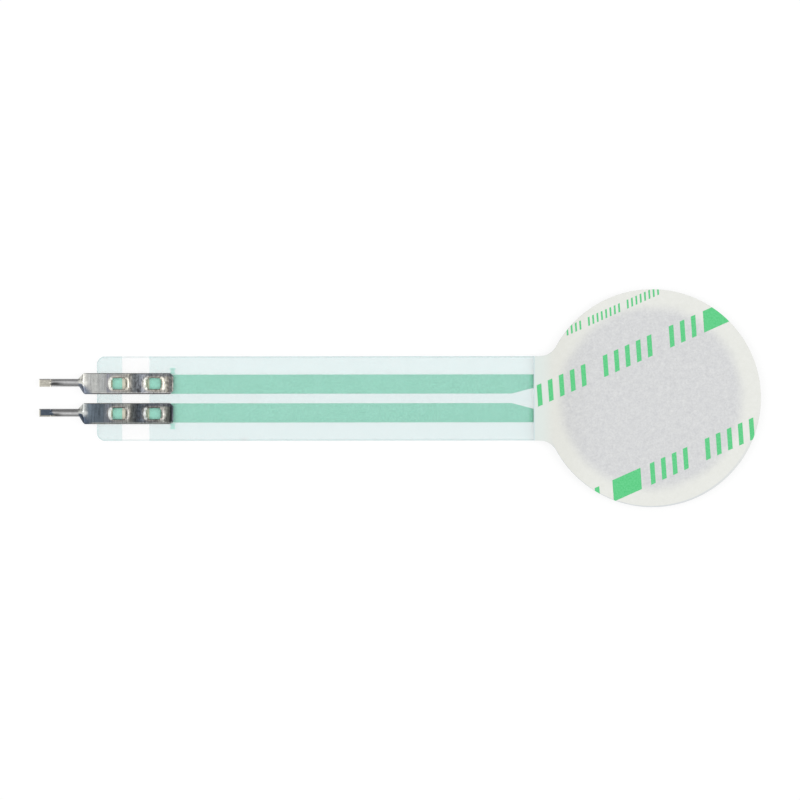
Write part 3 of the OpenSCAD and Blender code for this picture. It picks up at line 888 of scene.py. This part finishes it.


# The plate's back round its windows, in painted light and shade: a pale ring of painted sheen, a dark line
# of painted shade, painted highlights on the drawn lips and painted shade on their walls
def windowTones(finish, look, plate, x, y, leanX, leanY):
    shared = tinLooks["both"]
    rightward, beside, away = windowPlaces(finish, x, y)
    # A pale ring of painted sheen round each window, in patches
    patchy = spread(finish, mottle(finish, 0.4, detail=3, shift=(0, 5, 0)), 0.35, 0.65, 0.15, 0.6)
    haloSheen = times(finish, spread(finish, away, 0.24, 0.1, smooth=True), patchy)
    plate = paint(finish, haloSheen, plate, look["haloSheen"])
    # A dark line of painted shade round each window
    line = times(finish, spread(finish, away, 0.1, 0.05), spread(finish, beside, 0.72, 0.56))
    plate = paint(finish, line, plate, look["windowShadeLine"])

    # The painted highlights on the drawn lips bow outwards, and the right window's right lip reaches a
    # little farther
    bowed = sums(finish, "ADD", beside, times(finish, y, y, 0.62))
    tall = spread(finish, sizeOf(finish, y), 0.54, 0.46)
    left = times(finish, spread(finish, bowed, 0.92, 0.86), spread(finish, rightward, -0.5, -0.56), tall)
    plate = paint(finish, left, plate, look["leftLipHighlight"])
    farther = spread(finish, x, windowX[0] + 1, windowX[1] - 1, 0, 0.09)
    right = times(finish, spread(finish, rightward, 0.5, 0.56),
                  spread(finish, sums(finish, "SUBTRACT", bowed, farther), 0.95, 0.82), tall)
    plate = paint(finish, right, plate, look["rightLipHighlight"])
    # Painted shade on the lips' walls, where they lean along the plate
    onWindow = sums(finish, "LESS_THAN", away, 0.12)
    wall = times(finish, onWindow, spread(finish, leanX, 0.45, 0.72))
    plate = paint(finish, wall, plate, look["lipWallShade"])
    # Painted shade inside the right lip of either window
    inner = times(finish, spread(finish, bowed, 0.7, 0.66), spread(finish, rightward, 0.54, 0.58), tall)
    shade = twoTones(finish, spread(finish, x, windowX[0] + 1, windowX[1] - 1), shared["lipShades"])
    plate = blendTones(finish, inner, plate, shade)
    # Painted shade on the window's long sides, by the way they lean
    halfLength = terminal["windowLength"] / 2
    sides = times(finish, onWindow, spread(finish, sizeOf(finish, leanY), 0.3, 0.6),
                  spread(finish, beside, halfLength, halfLength - 0.1))
    return paint(finish, sides, plate, shared["windowSideShade"]), sums(finish, "MAXIMUM", wall, left)


# The whole plate: painted reflections along its back, its stains, painted highlight and shade on its
# rounded long edges, a darker band on its upper side near its end, darker towards its lower edge, and the
# painted line of light on its rolled end
def plateTones(finish, look, x, y, leanX, leanY, grain):
    shared = tinLooks["both"]
    fromEnd = sums(finish, "SUBTRACT", terminalHigh.x, x)
    plate = ramp(finish, fromEnd, look["flat"])
    stain = mottle(finish, 0.3, stretch=(1, 1.6, 1), detail=4, roughness=0.7, shift=(3, 1, 0))
    stains = times(finish, spread(finish, stain, 0.46, 0.62), spread(finish, fromEnd, 5, 3.4, 0, 0.7))
    plate = paint(finish, stains, plate, shared["stain"])
    plate, lips = windowTones(finish, look, plate, x, y, leanX, leanY)
    # Painted highlight and shade on the rounded long edges, by the way they lean: a light then a dark line
    # below, a dark line above
    edge = spread(finish, sizeOf(finish, y), 0.62, 0.72)
    edgeTones = ((-0.06, -0.22, look["lowerEdgeHighlightAndShade"][0]), (-0.4, -0.6, look["lowerEdgeHighlightAndShade"][1]),
                 (0.15, 0.5, shared["upperEdgeShade"]))
    for low, high, colour in edgeTones:
        plate = paint(finish, times(finish, edge, spread(finish, leanY, low, high)), plate, colour)
    band = times(finish, spread(finish, y, 0.54, 0.66), spread(finish, fromEnd, 2.5, 2, 0, 0.75))
    plate = paint(finish, band, plate, look["topBand"])
    line = times(finish, spread(finish, fromEnd, 0.11, 0.06), spread(finish, y, 0.2, -0.05))
    plate = paint(finish, line, plate, look["endLine"])
    plate = shadeBy(finish, plate, spread(finish, y, -0.8, 0.8, 0.94, 1.05))
    plate = shadeBy(finish, plate, grain)
    speckle = mottle(finish, 0.13, stretch=(1, 1.8, 1), detail=3, shift=(2, 0, 4))
    speckled = shadeBy(finish, plate, spread(finish, speckle, 0.32, 0.68, 0.62, 1.38))
    return blendTones(finish, spread(finish, fromEnd, 4.4, 3.4), plate, speckled), lips


# Painted shade and highlight on the shoulder, by the way it leans: dark below, bright along the fold,
# lighter above and shaded on its steep upper side
def shoulderTones(finish, look, leanY):
    below, above = look["flankShadeAndLight"]
    ridgeHighlight = look["ridgeHighlight"]
    shoulder = ramp(finish, leanY, [(-0.25, below), (-0.05, ridgeHighlight), (0.25, ridgeHighlight), (0.45, above)])
    return paint(finish, spread(finish, leanY, 0.55, 0.85), shoulder, tinLooks["both"]["shoulderSideShade"])


# Painted shade of the shoulder's lower side, which runs far into the plate
def wedgeShadeShare(finish, x, y):
    wedge = sums(finish, "ADD", x, times(finish, y, 0.7))
    return times(finish, spread(finish, wedge, plateStart + 0.26, plateStart - 0.34, smooth=True),
                 spread(finish, y, 0, -0.3), spread(finish, x, pinStart - 0.05, pinStart + 0.1))


# The glint where the fold runs out
def glintShare(finish, x, y):
    place = addNode(finish, "ShaderNodeCombineXYZ",
                    {"X": spread(finish, x, plateStart - 0.22, plateStart + 0.36, -1, 1),
                     "Y": spread(finish, y, -0.2, 0.34, -1, 1)}).outputs[0]
    glint = addNode(finish, "ShaderNodeTexGradient", {"Vector": place}, gradient_type="SPHERICAL")
    return spread(finish, glint.outputs["Fac"], 0, 0.9, 0, 0.85, smooth=True)


# The folded pin and its flat tip, with streaks along them, and with painted reflections and shade across
# the fold and a painted highlight on the tip's end and lower edge
def pinTones(finish, look, x, y, leanY):
    t = terminal
    low, high = t["pinOffset"] - t["pinWidth"] / 2, t["pinOffset"] + t["pinWidth"] / 2
    across = spread(finish, y, low, high, -1, 1)
    onBody = spread(finish, x, pressStart + 0.2, pressStart + 1.1, smooth=True)
    pin = blendTones(finish, onBody, ramp(finish, across, look["nose"]), ramp(finish, leanY, look["pin"]))
    peak, slant, shift = look["nosePeak"]
    aside = sizeOf(finish, sums(finish, "SUBTRACT", across, peak))
    along = sums(finish, "SUBTRACT", x, times(finish, aside, slant))
    tipRimHighlight = sums(finish, "MAXIMUM", spread(finish, x, terminalLow.x + 0.15, terminalLow.x + 0.07),
                  spread(finish, y, -0.11, -0.18))
    tip = twoTones(finish, tipRimHighlight, (look["tip"], look["tipRimHighlight"]))
    onTip = spread(finish, along, tipStart + shift + 0.16, tipStart + shift + 0.04)
    pin = blendTones(finish, onTip, pin, tip)
    # Painted shade along the pin's upper side
    pin = paint(finish, spread(finish, across, 0.7, 0.88), pin, tinLooks["both"]["pinSideShade"])
    streaks = mottle(finish, 0.07, stretch=(14, 1, 1), detail=2)
    return shadeBy(finish, pin, spread(finish, streaks, 0.3, 0.7, 0.88, 1.12))


# Share of the sloped bends that is darkened, as they would mirror the bright surroundings
def glareShare(finish, x, leanX, leanY):
    steepX = sizeOf(finish, leanX)
    return times(finish, spread(finish, steepX, 0.12, 0.32, smooth=True),
                 spread(finish, steepX, 0.66, 0.48, 0, 0.69, smooth=True),
                 spread(finish, sizeOf(finish, leanY), 0.45, 0.2),
                 spread(finish, x, pinStart - 0.2, pinStart, 0.4, 1))


def tinFinish(side):
    look = tinLooks[side]
    finish, shader = newFinish(side + "Tin", Metallic=1.0)
    x, y = placeParts(finish, (0, look["axis"], 0))[:2]
    lean = addNode(finish, "ShaderNodeAttribute", attribute_name="lean").outputs["Vector"]
    turn = addNode(finish, "ShaderNodeSeparateXYZ", {"Vector": lean})
    leanX, leanY = turn.outputs["X"], turn.outputs["Y"]
    grain = spread(finish, mottle(finish, 0.09, stretch=(1, 22, 1), detail=2, roughness=0.6),
                   0.3, 0.7, 1 - look["grain"], 1 + look["grain"])
    blotch = spread(finish, mottle(finish, 0.22, detail=4, roughness=0.7), 0.3, 0.7, 0.9, 1.1)
    plate, lips = plateTones(finish, look, x, y, leanX, leanY, grain)
    onShoulder = spread(finish, x, pinStart - 0.1, pinStart + 0.12, smooth=True)
    onPlate = spread(finish, x, plateStart - 0.3, plateStart + 0.3, smooth=True)
    level = blendTones(finish, onShoulder, pinTones(finish, look, x, y, leanY),
                       shoulderTones(finish, look, leanY))
    level = blendTones(finish, onPlate, level, plate)
    # Painted shade of the shoulder's lower side, and a painted glint where the fold runs out
    level = paint(finish, wedgeShadeShare(finish, x, y), level, look["flankShadeAndLight"][0])
    level = paint(finish, glintShare(finish, x, y), level, look["glint"])
    level = shadeBy(finish, level, blotch)
    # The painted highlights on the lips are made mostly non-metallic, so they stay bright whatever they
    # mirror
    metalShare = spread(finish, lips, 0, 1, 1, 0.2)
    level = paint(finish, times(finish, glareShare(finish, x, leanX, leanY), metalShare), level, (0, 0, 0))
    feed(finish, metalShare, shader.inputs["Metallic"])
    feed(finish, level, shader.inputs["Base Color"])
    feed(finish, spread(finish, blotch, 0.9, 1.1, 0.24, 0.34), shader.inputs["Roughness"])
    feed(finish, bumpFrom(finish, grain, 0.002, 0.3), shader.inputs["Normal"])
    return finish


def shearedFinish():
    finish, shader = newFinish("shearedEdge", Metallic=1.0, Roughness=0.38)
    streaks = cloudy(finish, 0.05, stretch=(1, 1, 6), detail=3)
    feed(finish, twoTones(finish, streaks, tinLooks["both"]["sheared"]), shader.inputs["Base Color"])
    return finish


def makeTerminals():
    sheared = shearedFinish()
    first = formStrip()
    smoothPiece(first, 30)
    storeLean(first)
    for side, sign in (("upper", 1), ("lower", -1)):
        activate(first)
        bpy.ops.object.duplicate()
        piece = namePiece(bpy.context.active_object, side + "Terminal")
        piece.data.transform(Matrix.Translation((0, sign * terminalY * mm, 0)))
        dressPiece(piece, [tinFinish(side), sheared], [side + "_terminal"])
        for face in piece.data.polygons:
            rim = abs(face.normal.z) < 0.2 and face.center.x > plateStart * mm
            outer = abs(face.center.y - sign * terminalY * mm) > (plateHalf - 0.02) * mm
            if rim and outer:
                face.material_index = 1
        print("terminals:", piece.name, len(piece.data.polygons), "faces")
    bpy.data.objects.remove(first)


# Studio: pale floor, two soft side lamps and an even sky, with lengths in metres
studio = {
    "middle": -0.02,  # what the lamps are aimed at, along X
    "floorSize": 3,
    "floorGap": 0.005,  # below the lowest point of the terminals, in mm
    "floorTone": 0.18,
    "floorLift": 0.84,
    "sky": 0.62,
    "lampPower": 1.05,
    "lampSize": 0.24,
    "lampReach": 0.42,
    "lampHeight": 0.42,
}


# Light seen by the camera and in mirrors and glass, as one factor
def seenDirectly(owner):
    path = addNode(owner, "ShaderNodeLightPath")
    total = path.outputs["Is Camera Ray"]
    for name in ("Is Glossy Ray", "Is Transmission Ray"):
        total = sums(owner, "MAXIMUM", total, path.outputs[name])
    return total


def makeFloor():
    deselectAll()
    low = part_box("upper_terminal")[0].z - studio["floorGap"] * mm
    bpy.ops.mesh.primitive_plane_add(size=studio["floorSize"], location=(0, 0, low))
    floor = namePiece(bpy.context.active_object, "studioFloor")
    bpy.ops.object.transform_apply(location=True, rotation=True, scale=True)
    finish, shader = newFinish("paleFloor", Roughness=0.9, Specular_IOR_Level=0.0)
    shader.inputs["Base Color"].default_value = [studio["floorTone"]] * 3 + [1]
    shader.inputs["Emission Color"].default_value = (1, 1, 1, 1)
    lift = times(finish, seenDirectly(finish), studio["floorLift"])
    feed(finish, lift, shader.inputs["Emission Strength"])
    floor.data.materials.append(finish)


def makeLamps():
    middle, reach = studio["middle"], studio["lampReach"]
    for name, side in (("softLeft", -1), ("softRight", 1)):
        bpy.ops.object.light_add(type="AREA", location=(side * reach + middle, 0, studio["lampHeight"]))
        lamp = bpy.context.active_object
        lamp.name = name
        lamp.data.shape = "RECTANGLE"
        lamp.data.size = studio["lampSize"]
        lamp.data.size_y = studio["lampSize"] * 2
        lamp.data.energy = studio["lampPower"]
        aim = Vector((middle, 0, 0)) - lamp.location
        lamp.rotation_euler = aim.to_track_quat("-Z", "Y").to_euler()


def makeSky():
    sky = bpy.data.worlds.new("evenSky")
    sky.use_nodes = True
    bpy.context.scene.world = sky
    background = sky.node_tree.nodes["Background"]
    background.inputs["Color"].default_value = (1, 1, 1, 1)
    feed(sky, spread(sky, seenDirectly(sky), 0, 1, studio["sky"], 1), background.inputs["Strength"])


# Camera straight above, framed so that 11.8 pixels of an 800 pixel picture are 1 mm on the films. The
# sensor lies a hair turned in the picture
view = {
    "frame": 800,
    "pixelsPerMm": 11.8,
    "headPixel": (651.9, 398.2),
    "turn": -0.05,
    "lens": 100,
}


def makeCamera():
    scale = view["pixelsPerMm"] / mm
    half = view["frame"] / 2
    turn = Matrix.Rotation(math.radians(view["turn"]), 3, "Z")
    head = Vector((view["headPixel"][0] - half, half - view["headPixel"][1], 0)) / scale
    data = bpy.data.cameras.new("topCamera")
    data.lens = view["lens"]
    data.sensor_width = 36
    data.clip_start = 0.01
    data.clip_end = 10
    distance = view["frame"] / scale * data.lens / data.sensor_width
    camera = bpy.data.objects.new("topCamera", data)
    camera.location = turn @ -head + Vector((0, 0, filmBack * mm + distance))
    camera.rotation_euler = (0, 0, math.radians(view["turn"]))
    bpy.context.collection.objects.link(camera)
    bpy.context.scene.camera = camera


makeFilms()
makeAdhesives()
makePrints()
makeLiner()
makeTerminals()
makeFloor()
makeLamps()
makeSky()
makeCamera()
bpy.context.scene.view_settings.view_transform = "Standard"
bpy.context.scene.cycles.transparent_max_bounces = 32  # the tail is a stack of clear layers
print("studio: floor, lamps, sky and camera")
